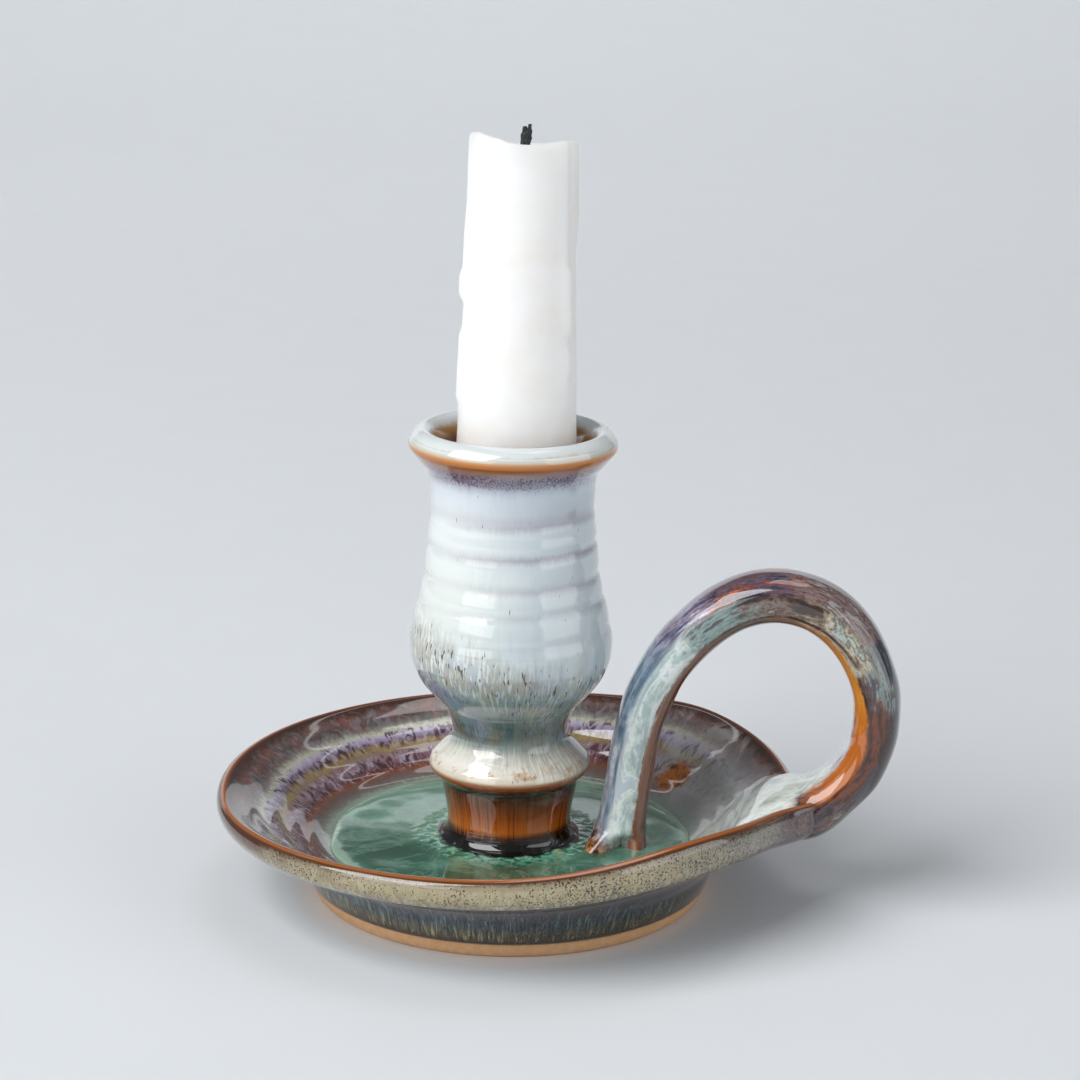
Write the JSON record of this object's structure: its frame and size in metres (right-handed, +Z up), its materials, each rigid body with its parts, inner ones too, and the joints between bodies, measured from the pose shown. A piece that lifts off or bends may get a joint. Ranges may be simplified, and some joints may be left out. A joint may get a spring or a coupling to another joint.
{
  "type": "chamberstick",
  "caption": "Hand-thrown glazed stoneware chamberstick: a footed drip tray with a candle socket, a pulled loop handle, pooled green glass in the well and a tapered white candle that lifts out.",
  "frame": {"origin": "middle of the whole footprint, tray and handle together, on the surface that the foot stands on", "axes": "+Z up along the candle, +X from the socket towards the loop handle, +Y to the far side of the tray"},
  "size_m": [0.1289, 0.1098, 0.1453],
  "materials": {
    "tray_glaze": "gloss",
    "socket_glaze": "gloss",
    "handle_glaze": "gloss",
    "green_glass": "polished",
    "candle_wax": "satin",
    "charred_cotton": "matte"
  },
  "bodies": {
    "holder": {"drip_tray": "tray_glaze", "candle_socket": "socket_glaze", "loop_handle": "handle_glaze", "glass_pool": "green_glass"},
    "candle": {"candle_wax": "candle_wax", "wick": "charred_cotton"}
  },
  "joints": [
    {"name": "candle_lift", "type": "slide", "parent": "holder", "child": "candle", "axis": [0, 0, 1], "range_m": [0, 0.06]}
  ]
}
